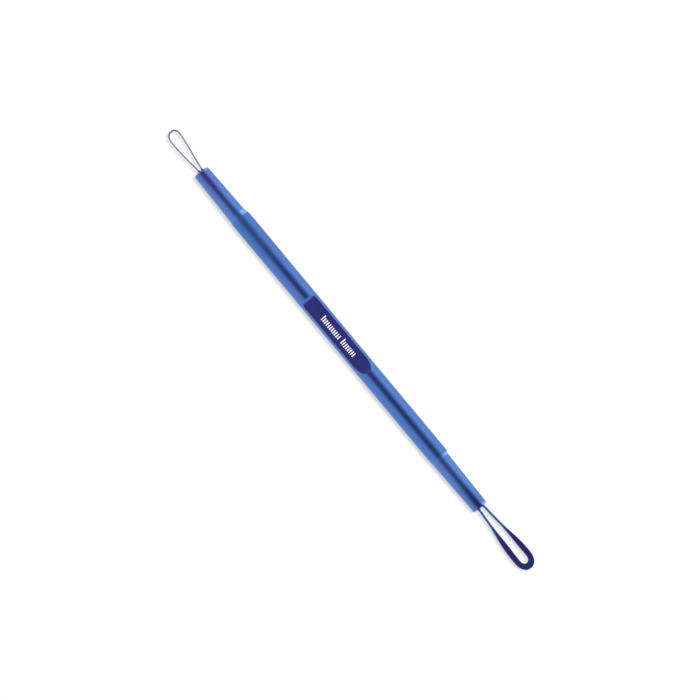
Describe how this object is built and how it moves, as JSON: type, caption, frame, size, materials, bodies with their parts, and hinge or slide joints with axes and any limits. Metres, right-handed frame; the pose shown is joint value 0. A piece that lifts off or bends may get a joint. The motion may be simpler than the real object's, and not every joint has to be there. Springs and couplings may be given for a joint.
{
  "type": "double-ended wire loop tool",
  "caption": "Slim round metal hand tool with finger flats, a tapered ferrule at each end, a fine wire loop in one and a wider flattened loop in the other.",
  "frame": {"origin": "under the middle of the tool's length and width, on the surface that the bar lies on", "axes": "+X along the bar towards the wide loop, +Y across both loops, +Z out of the upper finger flat"},
  "size_m": [0.12, 0.0044, 0.0045],
  "materials": {
    "blue_coat": "glossy blue coat on drawn steel",
    "neck_coat": "glossy blue coat on turned steel, heat-tinted near the mouth",
    "braze": "smooth coated braze fillet",
    "solder": "dark coated solder",
    "fine_wire": "drawn wire with a thin violet tint",
    "wide_strip": "dark blue coat on pressed wire"
  },
  "bodies": {
    "root": {"handle_bar": "blue_coat", "fine_ferrule": "neck_coat", "fine_braze_ring": "braze", "fine_solder_plug": "solder", "fine_wire_loop": "fine_wire", "wide_ferrule": "neck_coat", "wide_braze_ring": "braze", "wide_solder_plug": "solder", "wide_wire_loop": "wide_strip"}
  },
  "joints": []
}
